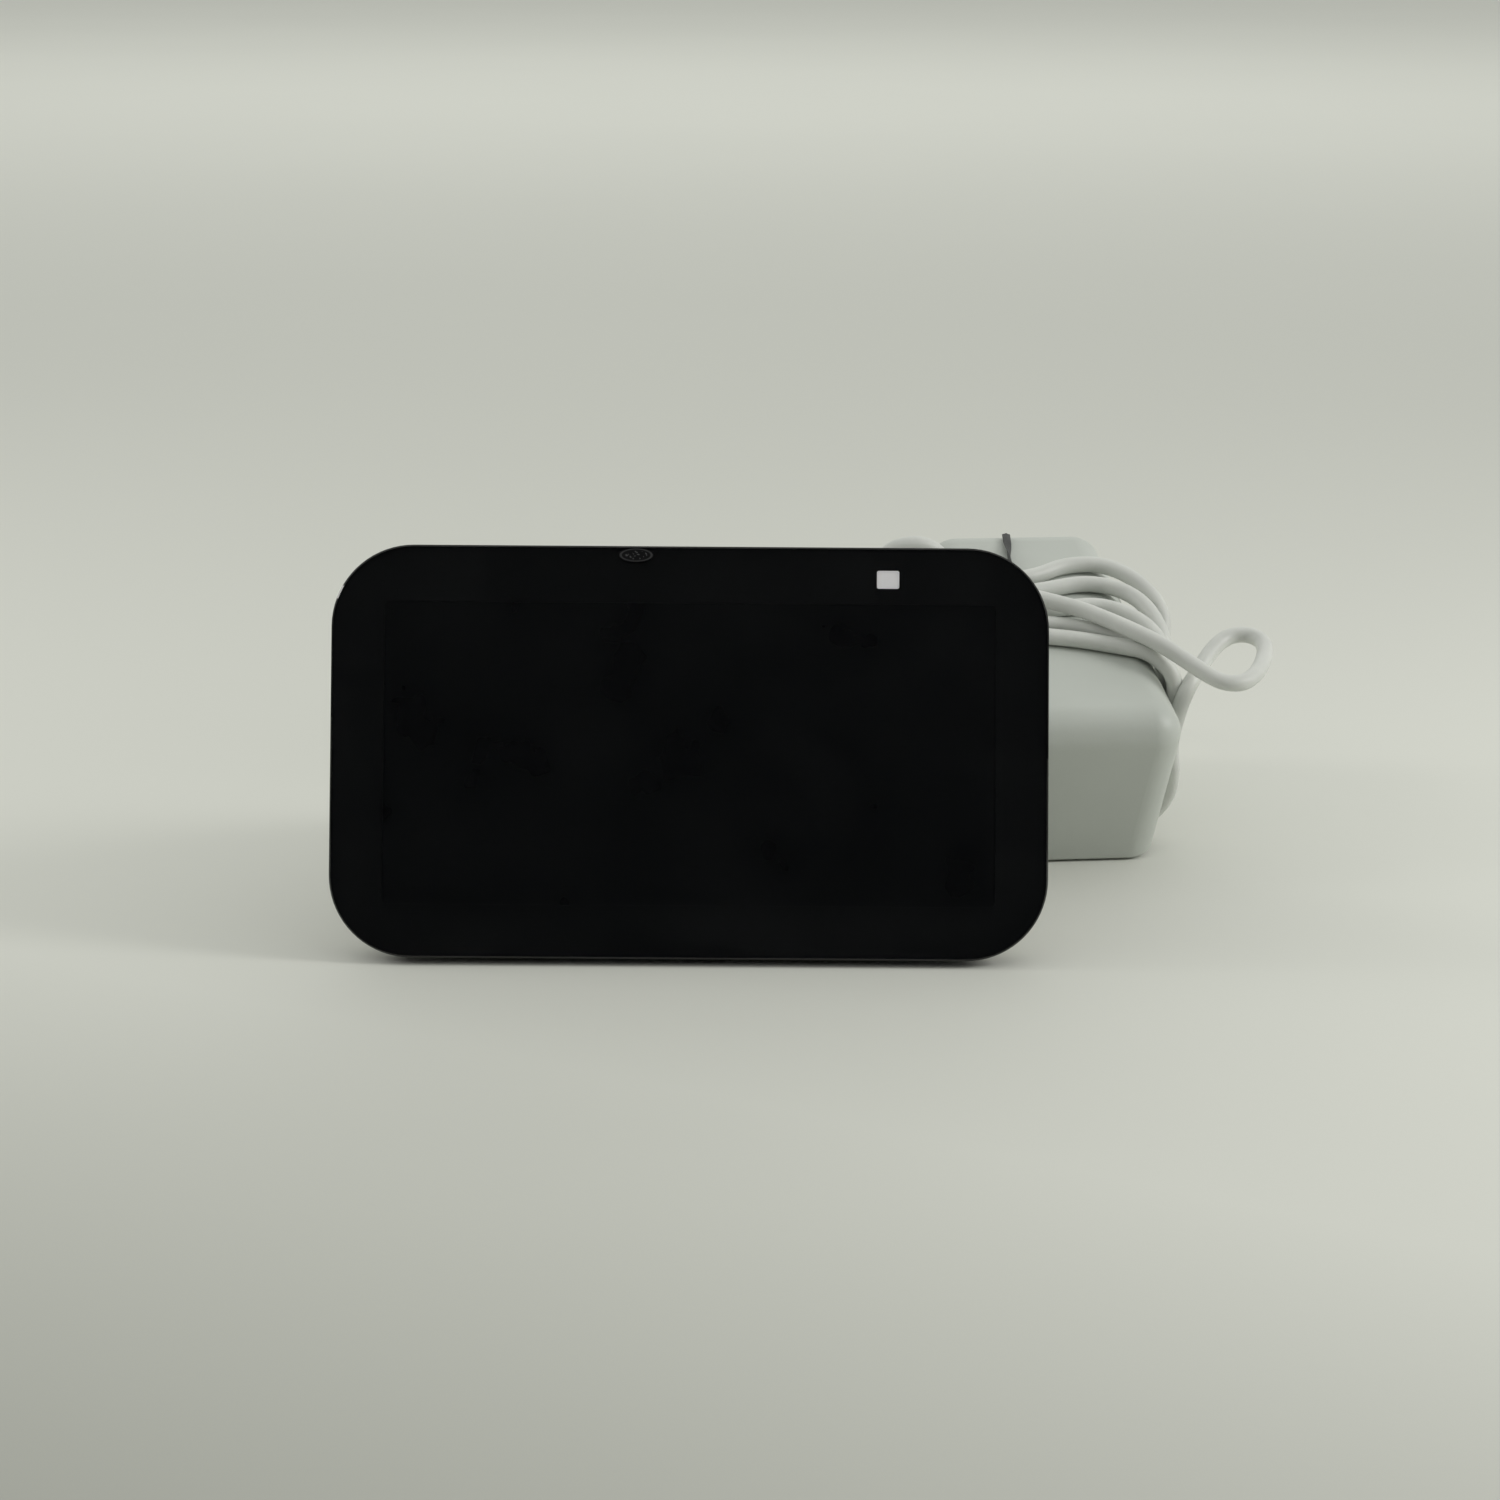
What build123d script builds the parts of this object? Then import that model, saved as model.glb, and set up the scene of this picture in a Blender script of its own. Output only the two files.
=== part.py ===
from build123d import *
import os
from math import cos, pi, radians, sin, tan

# Countertop smart display with its mains adapter. Millimetres, +Z up, +X to the right.
# The glass faces -Y. The origin is on the table, under the middle of the unit's own box.

# Driving dimensions of the unit
unit_depth = 91.0
glass_width = 147.0
glass_height = 84.5
glass_thickness = 1.5
glass_corner = 16.8
glass_lean = radians(18.0)
glass_lift = 1.7  # lower edge of the glass above the table
view_width = 125.4  # lit area, two to one
view_height = 62.0
view_centre = 41.9  # measured up the glass from its lower edge
window_x = 40.5  # camera window
window_up = 78.0
window_width = 4.6
window_height = 3.7
frame_back = 5.5  # depth of the front frame behind the glass face
ring_front = 6.1
ring_back = 14.0
shell_front = 14.3
skin = 0.9  # fabric
shell_wall = 2.0
base_level = 2.8  # underside of the body above the table
tail_depth = 82.75  # depth of the body along the normal of the glass
knob_x = window_x + 5.1
frame_screw_places = [(x, up) for x in (-66.3, 66.3) for up in (24, 56)]
microphone_places = (-47.5, -33.5)
button_places = {"mic_button": -24.0, "volume_down_button": -4.0, "volume_up_button": 16.0}

# Driving dimensions of the adapter and its lead
adapter_length = 87.2
adapter_width = 52.2
adapter_foot_width = 43.8
adapter_far_width = 43.4
adapter_far_foot_width = 35.0
adapter_height = 37.2
adapter_corner = 6.8  # upright corners
adapter_top_edge = 7.0
adapter_foot_edge = 0.8
adapter_turn = radians(6.35)
adapter_rise = radians(17.66)
adapter_place = (83.5, 24.36, 0.3)  # middle of the lower near edge
pin_length = 17.0
pin_station = 56.5
lead = 3.8  # diameter
winding_near = 13.0
winding_far = 52.0
winding_side_depth = 4.8
winding_depth = 7.4
jack_height = 11.6
jack_face = 38.5

panel = Plane(
    origin=(0, -unit_depth / 2, glass_lift),
    x_dir=(1, 0, 0),
    z_dir=(0, -cos(glass_lean), sin(glass_lean)),
).location
adapter_along = (
    -sin(adapter_turn) * cos(adapter_rise),
    cos(adapter_turn) * cos(adapter_rise),
    sin(adapter_rise),
)
adapter_across = Vector(cos(adapter_turn), sin(adapter_turn), 0)
adapter = Plane(
    origin=adapter_place,
    x_dir=adapter_across,
    z_dir=adapter_across.cross(Vector(*adapter_along)),
).location
speaker = panel * Pos(0, 43.0, -46.5) * Rot(180, 0, 0)


def save(name, shape):
    export_step(shape, f"parts/{name}.step")


def slab(width, height, corner, front, back, x=0.0, up=glass_height / 2):
    """A rounded plate parallel to the glass, from one depth behind its face to another."""
    return panel * Pos(x, up, -back) * extrude(RectangleRounded(width, height, corner), back - front)


def block(x_span, up_span, depth_span):
    """A box in the frame of the glass: sideways, up the glass, and in depth behind its face."""
    size = [span[1] - span[0] for span in (x_span, up_span, depth_span)]
    middle = Pos(sum(x_span) / 2, sum(up_span) / 2, -sum(depth_span) / 2)
    return panel * middle * Box(*size)


def drum(radius, front, back, x, up):
    """A cylinder that runs straight back from the glass."""
    return panel * Pos(x, up, -(front + back) / 2) * Cylinder(radius, back - front)


# Outer form of the body: upright rounded sections, parallel to the glass

def half_width(depth):
    taper = glass_width / 2 - 2.5 - 0.32 * (depth - 4)
    return taper * (1 - ((depth - 4) / 83.5) ** 5) ** 0.45


def crown(depth):
    return 34 + 48 * (1 - ((depth - 4) / 82.5) ** 1.7) ** 0.667


def section(depth, inset, tail):
    scaled = depth * tail_depth / tail
    level = base_level + inset
    low = (level - glass_lift + depth * sin(glass_lean)) / cos(glass_lean)
    high = crown(scaled) - inset
    width = 2 * (half_width(scaled) - inset)
    height = high - low
    face = Pos(0, (low + high) / 2) * Rectangle(width, height)
    shoulder = min(14.5, 0.46 * height) - 0.5 * inset
    heel = min(9.0, 0.3 * height) - 0.5 * inset
    corners = face.vertices().sort_by(Axis.Y)
    face = fillet(corners[:2], heel)
    corners = face.vertices().sort_by(Axis.Y)
    face = fillet([v for v in face.vertices() if v.Y > high - 0.01], shoulder)
    return panel * Pos(0, 0, -depth) * face


def body_form(front, inset, shares=(0, 0.12, 0.28, 0.44, 0.6, 0.72, 0.82, 0.9, 0.96, 1.0)):
    tail = tail_depth - inset
    depths = [front + share * (tail - front) for share in shares]
    return loft([section(depth, inset, tail) for depth in depths])


def ring_form(inset, front, back):
    middle = (front + back) / 2
    return loft([section(depth, inset, tail_depth) for depth in (front, middle, back)])


# Glass, display and front frame

def cover_glass():
    plate = slab(glass_width, glass_height, glass_corner, 0, glass_thickness)
    front = plate.faces().sort_by(Axis(origin=(0, 0, 0), direction=(0, cos(glass_lean), -sin(glass_lean))))[0]
    return chamfer(front.edges(), 0.35)


def glass_mask():
    film = slab(glass_width - 0.3, glass_height - 0.3, glass_corner - 0.15, 1.55, 1.7)
    view = slab(view_width, view_height, 0.8, 1.5, 1.8, 0, view_centre)
    window = slab(window_width, window_height, 0.4, 1.5, 1.8, window_x, window_up)
    return film - view - window


def label_oval():
    return panel * Pos(-11.2, 82.6, 0) * extrude(Ellipse(3.55, 1.45), 0.08)


def display_panel():
    return slab(view_width + 4, view_height + 3.6, 1.0, 1.75, 3.05, 0, view_centre - 0.4)


def backlight_unit():
    return slab(view_width + 4.4, view_height + 4.0, 1.4, 3.1, 4.4, 0, view_centre - 0.4)


def front_frame():
    tray = slab(glass_width - 1.6, glass_height - 1.6, glass_corner - 0.8, 1.75, frame_back)
    display_pocket = slab(view_width + 5.2, view_height + 4.8, 1.8, 1.6, 4.5, 0, view_centre - 0.4)
    shutter_channel = block((window_x - 5, window_x + 13.4), (window_up - 3.0, window_up + 3.0), (1.6, 2.7))
    arm_slot = block((window_x + 4.0, window_x + 13.0), (window_up - 1.4, window_up + 2.6), (1.6, 6))
    barrel_hole = drum(3.1, 1.6, 6, window_x, window_up)
    flex_slot = block((-20, 20), (6.2, 8.6), (1.6, 6))
    frame = tray - display_pocket - shutter_channel - arm_slot - barrel_hole - flex_slot
    for x, up in frame_screw_places:
        frame -= drum(1.0, 3, 7, x, up)
    return frame


# Body ring with the buttons and the shutter slider on its top

def body_ring():
    ring = ring_form(0.4, ring_front, ring_back) - ring_form(2.4, ring_front - 1, ring_back + 1)
    for x in button_places.values():
        ring -= capsule(9.3, 4.3, x, 77.5, 84)
    ring -= block((window_x + 3.8, window_x + 13.2), (77.5, 84), (8.0, 10.6))
    for x in microphone_places:
        ring -= panel * Pos(x, 80, -7.7) * Rot(90, 0, 0) * Cylinder(0.5, 10)
    return ring


def capsule(length, width, x, low, high, depth=10.0):
    """A rounded bar that stands up from the ring, along the glass."""
    plane = Plane(origin=(x, low, -depth), x_dir=(1, 0, 0), z_dir=(0, 1, 0))
    return panel * plane.location * extrude(SlotOverall(length, width), high - low)


def button(x):
    cap = capsule(9.0, 4.0, x, 78.5, 82.1)
    flange = capsule(11.0, 5.4, x, 77.9, 78.7)
    plunger = panel * Pos(x, 77.5, -10.0) * Rot(90, 0, 0) * Cylinder(1.0, 1.0)
    return cap + flange + plunger


def shutter_blade():
    return slab(10.0, 5.0, 0.6, 1.95, 2.35, window_x + 1.0, window_up)


def shutter_slider():
    arm = block((window_x + 4.2, window_x + 5.8), (window_up - 1.2, window_up + 0.8), (2.35, 9.8))
    riser = block((window_x + 4.2, window_x + 5.8), (window_up - 1.2, 82.0), (8.4, 10.2))
    knob = panel * Plane(origin=(knob_x, 81.5, -9.3), x_dir=(1, 0, 0), z_dir=(0, 1, 0)).location
    return arm + riser + knob * extrude(SlotOverall(7.0, 3.4), 1.1)


def camera_module():
    return block((window_x - 3.7, window_x + 3.7), (71.8, 79.0), (6.05, 10.6))


def camera_lens():
    barrel = drum(2.8, 3.0, 6.0, window_x, window_up)
    return barrel - drum(1.7, 2.9, 3.4, window_x, window_up)


def camera_flex():
    return block((window_x - 3, window_x + 3), (60, 71.8), (9.9, 10.1))


def microphone_board():
    board = block((-50, -31), (75.0, 78.4), (6.4, 7.2))
    return board + block((-49, -46), (75.2, 78.2), (7.2, 8.2)) + block((-35, -32), (75.2, 78.2), (7.2, 8.2))


def button_board():
    return block((-33, 33), (73.6, 74.6), (7.6, 12.4))


def tact_switches():
    return Compound([block((x - 2.1, x + 2.1), (74.6, 76.5), (8.4, 11.6)) for x in button_places.values()])


# Boards and radio parts behind the display

def heat_spreader():
    plate = slab(104, 58, 3.0, 6.3, 7.3, 0, 42)
    for x in (-46, 46):
        for up in (18, 66):
            plate -= drum(1.6, 6, 8, x, up)
    return plate


def main_board():
    board = slab(104, 56, 3.0, 8.2, 9.4, 0, 42)
    for x in (-46, 46):
        for up in (18, 66):
            board -= drum(1.3, 8, 10, x, up)
    return board


def shield(x, up, width, height):
    return block((x - width / 2, x + width / 2), (up - height / 2, up + height / 2), (9.4, 11.8))


def display_flex():
    return block((-18, 18), (6.8, 8.2), (3.6, 7.9)) + block((-18, 18), (6.8, 14), (7.9, 8.1))


def wifi_antenna(side):
    sheet = block((64.2, 64.6), (28, 62), (7.2, 12.4))
    if side < 0:
        return mirror(sheet, Plane.YZ)
    return sheet


# Speaker, which fires backwards behind the fabric

def speaker_magnet():
    yoke = Pos(0, 0, -19) * Cylinder(16, 10)
    gap = Pos(0, 0, -17) * (Cylinder(11.6, 7) - Cylinder(9.6, 7))
    return speaker * (yoke - gap)


def speaker_frame():
    outline = Polyline(
        (12.4, -13.9), (16.0, -13.9), (22.4, -1.6), (23.2, -1.6), (23.2, 0), (21.8, 0),
        (21.8, -1.2), (21.2, -1.2), (15.0, -12.7), (12.4, -12.7), close=True,
    )
    basket = revolve(Plane.XZ * make_face(outline), Axis.Z)
    for turn in range(6):
        basket -= Rot(0, 0, 60 * turn) * Pos(18, 0, -7.6) * Box(9, 8, 6.4)
    return speaker * basket


def speaker_cone():
    outline = Polyline(
        (0, -9.6), (8.5, -10.4), (18.2, -3.6), (18.2, -3.1), (8.4, -9.9), (0, -9.1), close=True,
    )
    return speaker * revolve(Plane.XZ * make_face(outline), Axis.Z)


def voice_coil():
    former = Pos(0, 0, -13.6) * (Cylinder(10.8, 6.2) - Cylinder(10.2, 6.2))
    return speaker * (former - Pos(0, 0, -6) * Cone(8.5, 18.9, 9))


def speaker_surround():
    return speaker * Pos(0, 0, -2.6) * (Cylinder(20.0, 1.1) - Cylinder(18.3, 1.1))


def speaker_baffle():
    plate = slab(80, 44.8, 6, 46.6, 48.4, 0, 43.7)
    return plate - drum(20.5, 46, 49, 0, 43)


# Rear shell, fabric, base and feet

def jack_passage(radius):
    return Pos(0, 45, jack_height) * Rot(90, 0, 0) * Cylinder(radius, 22)


def rear_shell():
    shell = body_form(shell_front, skin + 0.15) - body_form(shell_front - 2, skin + 0.15 + shell_wall)
    for column in range(-3, 4):
        shell -= block((5.4 * column - 1.4, 5.4 * column + 1.4), (34, 62), (50, 90))
    return shell - jack_passage(5.7)


def fabric_wrap():
    wrap = body_form(shell_front, 0) - body_form(shell_front - 1, skin)
    return wrap - jack_passage(6.2)


def footprint(margin):
    corners = [(-64, -33), (64, -33), (50, 16), (31, 38.5), (-31, 38.5), (-50, 16)]
    outline = make_face(Polyline(*corners, close=True))
    rounded = fillet(outline.vertices(), 9)
    return offset(rounded, -margin)


def base_plate():
    plate = Pos(0, 0, 1.0) * extrude(footprint(0), base_level - 1.05)
    for x, y in base_screw_places():
        plate -= Pos(x, y, 1.4) * Cylinder(2.4, 1.6)
    return plate


def base_screw_places():
    return [(x, y) for x in (-26, 26) for y in (-16, 20)]


def base_screws():
    heads = [Pos(x, y, 1.7) * (Cylinder(2.2, 1.0) - Pos(0, 0, -0.3) * Cylinder(0.8, 0.5)) for x, y in base_screw_places()]
    return Compound(heads)


def rubber_foot():
    return extrude(footprint(3), 0.98) - Pos(0, 0, -1) * extrude(footprint(13), 3)


def frame_screws():
    return Compound([drum(1.35, 5.6, 6.8, x, up) + drum(0.85, 3.2, 5.6, x, up) for x, up in frame_screw_places])


# Power inlet and plug

def dc_jack():
    housing = Pos(0, jack_face - 6, jack_height) * Box(9, 12, 8.2)
    housing -= Pos(0, jack_face - 5, jack_height) * Rot(90, 0, 0) * Cylinder(2.05, 10)
    return housing + Pos(0, jack_face - 6, jack_height) * Rot(90, 0, 0) * Cylinder(0.8, 9)


def jack_board():
    return Pos(0, jack_face - 9, jack_height - 4.6) * Box(16, 18, 1.0)


def plug_barrel():
    tube = Cylinder(2.0, 9.6) - Cylinder(0.85, 9.6)
    return Pos(0, jack_face - 4.5, jack_height) * Rot(90, 0, 0) * tube


def plug_body():
    outline = Polyline((0, 0), (4.5, 0), (4.5, 15), (3.7, 16.6), (2.4, 29), (0, 29), close=True)
    grip = revolve(Plane.XZ * make_face(outline), Axis.Z)
    return Pos(0, jack_face + 0.3, jack_height) * Rot(-90, 0, 0) * grip


# Mains adapter, in its own frame: across, along from its near end, and up

def adapter_form(margin=0.0):
    def face(near, far, level):
        low = -margin
        high = adapter_length + margin
        half_near = near / 2 + margin
        half_far = far / 2 + margin
        corners = [(-half_near, low), (half_near, low), (half_far, high), (-half_far, high)]
        outline = make_face(Polyline(*corners, close=True))
        return Pos(0, 0, level) * fillet(outline.vertices(), adapter_corner + margin)

    foot = face(adapter_foot_width, adapter_far_foot_width, -margin)
    top = face(adapter_width, adapter_far_width, adapter_height + margin)
    form = loft([foot, top], ruled=True)
    form = fillet(form.faces().sort_by(Axis.Z)[-1].edges(), adapter_top_edge + margin)
    return fillet(form.faces().sort_by(Axis.Z)[0].edges(), max(0.6, adapter_foot_edge + margin))


def adapter_shell():
    return adapter_form() - adapter_form(-2.0)


def above(level):
    return Pos(0, 40, level + 50) * Box(200, 200, 100)


def adapter_housing():
    return adapter * (adapter_shell() & above(5.0) - cord_hole())


def adapter_base():
    base = adapter_shell() - above(5.0)
    for blade in pin_blades():
        base -= blade
    return adapter * base


def cord_hole():
    return Pos(0, adapter_length, 15) * Rot(90, 0, 0) * Cylinder(3.2, 12)


def pin_blades():
    return [Pos(x, pin_station, 4 - (pin_length + 4) / 2) * Box(1.5, 6.3, pin_length + 4) for x in (-6.35, 6.35)]


def adapter_pins():
    return Compound([adapter * blade for blade in pin_blades()])


def adapter_board():
    return adapter * Pos(0, 40, 8.5) * Box(32, 64, 1.6)


def adapter_transformer():
    return adapter * Pos(0, 38, 18.5) * Box(20, 18, 18)


def adapter_capacitors():
    cans = [Pos(-8, 19, 17) * Cylinder(5, 15), Pos(8, 19, 17) * Cylinder(5, 15), Pos(0, 60, 15) * Cylinder(4, 11)]
    return Compound([adapter * can for can in cans])


def strain_relief():
    outline = Polyline((0, 0), (4.4, 0), (4.4, 2), (3.15, 2), (3.15, 4), (2.5, 16), (0, 16), close=True)
    sleeve = revolve(Plane.XZ * make_face(outline), Axis.Z)
    return adapter * Pos(0, adapter_length - 4.0, 15) * Rot(-90, 0, 0) * sleeve


# Lead

def tube(points):
    """Straight runs joined by arcs as large as the runs allow."""
    points = [Vector(*point) for point in points]
    radii = []
    for before, here, after in zip(points, points[1:], points[2:]):
        turn = radians((here - before).get_angle(after - here))
        radii.append(0.45 * min((here - before).length, (after - here).length) / tan(turn / 2))
    path = FilletPolyline(*points, radius=radii)
    solid = sweep(Plane(origin=path @ 0, z_dir=path % 0) * Circle(lead / 2), path=path)
    expected = pi * lead ** 2 / 4 * path.length
    print("tube", round(path.length, 1), "volume ratio", round(solid.volume / expected, 4), "radii",
          [round(radius, 1) for radius in radii])
    return solid


def cord_run():
    return tube([
        (0, 67.8, jack_height), (0, 75, jack_height), (2.5, 84, 7.6), (9.5, 91.6, 3.4), (20, 95.4, 2.1),
        (31, 94, 2.4), (41, 87.6, 4.6), (48.4, 79.0, 8.2), (53.6, 71.4, 12.4),
    ])


def cord_winding():
    width = adapter_width + 2 * winding_side_depth
    height = adapter_height + 2 * winding_depth
    plane = Plane(origin=(0, winding_near, adapter_height / 2), x_dir=(1, 0, 0), z_dir=(0, 1, 0))
    band = plane.location * extrude(RectangleRounded(width, height, 13), winding_far - winding_near)
    band = adapter * (band - adapter_form(0.15))
    return band & Pos(0, 0, 100.2) * Box(400, 400, 200)


def in_adapter(points):
    return [tuple((adapter * Pos(*point)).position) for point in points]


def cord_loop():
    return tube(in_adapter([
        (31.4, 14.0, 40.4), (34.8, 11.0, 39.9), (39.0, 11.2, 39.5), (42.8, 14.8, 39.2), (45.8, 20.0, 39.0),
        (48.0, 25.4, 38.9), (48.5, 30.4, 38.8), (45.6, 33.9, 38.5), (41.2, 33.9, 37.9), (37.0, 30.2, 37.0),
        (33.0, 24.6, 35.6),
    ]))


def cord_tail():
    return tube(in_adapter([
        (0, 99.2, 15), (0, 104.2, 15), (-1.6, 110.0, 12.6), (-4.6, 112.4, 6.4), (-8.2, 110.4, -1.0),
        (-11.2, 104.2, -6.8), (-13.2, 95.4, -10.4), (-14.4, 84.4, -11.4), (-14.6, 72.8, -9.4),
        (-14.2, 61.6, -6.4), (-14.0, 51.8, -4.4),
    ]))


def twist_tie():
    strip = Pos(-4.5, 69.6, adapter_height + 0.5) * Box(1.8, 34.8, 0.8)
    return adapter * (strip - adapter_form(0.02))


nodes = {
    "cover_glass": cover_glass,
    "glass_mask": glass_mask,
    "label_oval": label_oval,
    "display_panel": display_panel,
    "backlight_unit": backlight_unit,
    "front_frame": front_frame,
    "body_ring": body_ring,
    "rear_shell": rear_shell,
    "fabric_wrap": fabric_wrap,
    "base_plate": base_plate,
    "base_screws": base_screws,
    "rubber_foot": rubber_foot,
    "frame_screws": frame_screws,
    "heat_spreader": heat_spreader,
    "main_board": main_board,
    "processor_shield": lambda: shield(-24, 46, 34, 28),
    "radio_shield": lambda: shield(26, 50, 24, 18),
    "display_flex": display_flex,
    "camera_module": camera_module,
    "camera_lens": camera_lens,
    "camera_flex": camera_flex,
    "microphone_board": microphone_board,
    "button_board": button_board,
    "tact_switches": tact_switches,
    "wifi_antenna_left": lambda: wifi_antenna(-1),
    "wifi_antenna_right": lambda: wifi_antenna(1),
    "shutter_blade": shutter_blade,
    "shutter_slider": shutter_slider,
    "speaker_baffle": speaker_baffle,
    "speaker_frame": speaker_frame,
    "speaker_magnet": speaker_magnet,
    "speaker_cone": speaker_cone,
    "voice_coil": voice_coil,
    "speaker_surround": speaker_surround,
    "dc_jack": dc_jack,
    "jack_board": jack_board,
    "plug_barrel": plug_barrel,
    "plug_body": plug_body,
    "cord_run": cord_run,
    "cord_winding": cord_winding,
    "cord_loop": cord_loop,
    "cord_tail": cord_tail,
    "strain_relief": strain_relief,
    "adapter_housing": adapter_housing,
    "adapter_base": adapter_base,
    "adapter_pins": adapter_pins,
    "adapter_board": adapter_board,
    "adapter_transformer": adapter_transformer,
    "adapter_capacitors": adapter_capacitors,
    "twist_tie": twist_tie,
}
for name, place in button_places.items():
    nodes[name] = lambda place=place: button(place)

os.makedirs("parts", exist_ok=True)
for name, build in nodes.items():
    save(name, build())
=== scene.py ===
import bpy
from math import cos, pi, radians, sin
from mathutils import Matrix, Vector


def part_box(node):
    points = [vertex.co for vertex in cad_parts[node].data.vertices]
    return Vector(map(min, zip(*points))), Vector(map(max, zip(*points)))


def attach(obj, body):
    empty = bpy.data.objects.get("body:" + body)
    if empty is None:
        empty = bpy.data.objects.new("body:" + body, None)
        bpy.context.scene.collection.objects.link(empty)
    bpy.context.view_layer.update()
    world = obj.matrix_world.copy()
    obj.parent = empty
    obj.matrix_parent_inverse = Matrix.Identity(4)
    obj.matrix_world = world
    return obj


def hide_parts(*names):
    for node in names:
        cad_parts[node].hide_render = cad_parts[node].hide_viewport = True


# Countertop smart display, its wound lead and its mains adapter. Metres, +Z up, glass towards -Y.

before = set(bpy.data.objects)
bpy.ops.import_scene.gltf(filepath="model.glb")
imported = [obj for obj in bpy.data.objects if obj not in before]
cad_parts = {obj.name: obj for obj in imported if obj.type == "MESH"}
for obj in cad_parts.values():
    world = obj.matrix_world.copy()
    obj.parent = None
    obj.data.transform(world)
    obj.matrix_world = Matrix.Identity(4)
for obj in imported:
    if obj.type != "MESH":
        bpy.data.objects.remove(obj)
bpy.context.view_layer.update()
mm = 0.001
print("frame loaded:", len(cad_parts), "nodes")


def newPiece(name, verts, faces, finish, body="root"):
    mesh = bpy.data.meshes.new(name)
    mesh.from_pydata([tuple(v) for v in verts], [], faces)
    mesh.validate()
    mesh.shade_smooth()
    mesh.materials.append(finish)
    piece = bpy.data.objects.new(name, mesh)
    bpy.context.scene.collection.objects.link(piece)
    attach(piece, body)
    return piece


def addBevel(piece, width, segments=2):
    bevel = piece.modifiers.new("softEdges", "BEVEL")
    bevel.width = width
    bevel.segments = segments
    bevel.limit_method = "ANGLE"
    bevel.harden_normals = True


glassLean = radians(18)
glassThickness = 1.5 * mm
glassLow = Vector(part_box("cover_glass")[0])
panelOrigin = Vector((0, glassLow.y, glassLow.z + glassThickness * sin(glassLean)))
panelUp = Vector((0, sin(glassLean), cos(glassLean)))
panelBack = Vector((0, cos(glassLean), -sin(glassLean)))
sideways = Vector((1, 0, 0))


def onPanel(x, up, depth):  # millimetres across, up the glass and behind its face
    return panelOrigin + (sideways * x + panelUp * up + panelBack * depth) * mm


adapterPose = {"place": (83.5, 24.36, 0.3), "turn": 6.35, "rise": 17.66}  # it stands on its blades
turn = radians(adapterPose["turn"])
rise = radians(adapterPose["rise"])
adapterAcross = Vector((cos(turn), sin(turn), 0))
adapterAlong = Vector((-sin(turn) * cos(rise), cos(turn) * cos(rise), sin(rise)))
adapterUp = adapterAcross.cross(adapterAlong)


def onAdapter(x, along, up):
    place = Vector(adapterPose["place"])
    return (place + adapterAcross * x + adapterAlong * along + adapterUp * up) * mm


view = {"place": (12.4, -621.3, 213.9), "down": 16.23, "roll": 0.4, "lens": 72, "sensor": 36}

camera = bpy.data.objects.new("viewCamera", bpy.data.cameras.new("viewCamera"))
camera.data.lens = view["lens"]
camera.data.sensor_width = view["sensor"]
camera.data.clip_start = 0.02
camera.location = Vector(view["place"]) * mm
tilt = Matrix.Rotation(radians(90 - view["down"]), 3, "X") @ Matrix.Rotation(radians(view["roll"]), 3, "Z")
camera.rotation_euler = tilt.to_euler()
bpy.context.scene.collection.objects.link(camera)
bpy.context.scene.camera = camera
print("camera placed")


# finishes: each maker returns one procedural material
def newFinish(name, color, roughness, metallic=0.0, ior=1.5):
    finish = bpy.data.materials.new(name)
    finish.use_nodes = True
    shader = finish.node_tree.nodes["Principled BSDF"]
    shader.inputs["Base Color"].default_value = (*color, 1)
    shader.inputs["Roughness"].default_value = roughness
    shader.inputs["Metallic"].default_value = metallic
    shader.inputs["IOR"].default_value = ior
    return finish, finish.node_tree, shader


def addNode(tree, kind, **settings):
    node = tree.nodes.new(kind)
    for key, value in settings.items():
        if key in node.inputs:
            node.inputs[key].default_value = value
        else:
            setattr(node, key, value)
    return node


def addNoise(tree, scale, detail=3.0, stretch=(1, 1, 1)):
    place = addNode(tree, "ShaderNodeTexCoord")
    mapping = addNode(tree, "ShaderNodeMapping")
    mapping.inputs["Scale"].default_value = stretch
    noise = addNode(tree, "ShaderNodeTexNoise", Scale=scale, Detail=detail)
    tree.links.new(place.outputs["Object"], mapping.inputs["Vector"])
    tree.links.new(mapping.outputs["Vector"], noise.inputs["Vector"])
    return noise


def addTint(tree, shader, source, dark, light, low=0.35, high=0.65):
    ramp = addNode(tree, "ShaderNodeValToRGB")
    ramp.color_ramp.elements[0].position = low
    ramp.color_ramp.elements[0].color = (*dark, 1)
    ramp.color_ramp.elements[1].position = high
    ramp.color_ramp.elements[1].color = (*light, 1)
    tree.links.new(source, ramp.inputs["Fac"])
    tree.links.new(ramp.outputs["Color"], shader.inputs["Base Color"])
    return ramp


def addRoughness(tree, shader, source, low, high):
    spread = addNode(tree, "ShaderNodeMapRange")
    spread.inputs["From Min"].default_value = 0.3
    spread.inputs["From Max"].default_value = 0.7
    spread.inputs["To Min"].default_value = low
    spread.inputs["To Max"].default_value = high
    tree.links.new(source, spread.inputs["Value"])
    tree.links.new(spread.outputs["Result"], shader.inputs["Roughness"])


def addBump(tree, shader, source, strength, depth):
    bump = addNode(tree, "ShaderNodeBump", Strength=strength, Distance=depth)
    tree.links.new(source, bump.inputs["Height"])
    tree.links.new(bump.outputs["Normal"], shader.inputs["Normal"])
    return bump


def mathNode(tree, operation, first, second=None):
    node = addNode(tree, "ShaderNodeMath", operation=operation)
    for socket, value in zip(node.inputs, (first, second)):
        if value is None:
            continue
        if isinstance(value, (int, float)):
            socket.default_value = value
        else:
            tree.links.new(value, socket)
    return node.outputs[0]


def shade(color, factor):
    return tuple(min(1, channel * factor) for channel in color)


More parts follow.
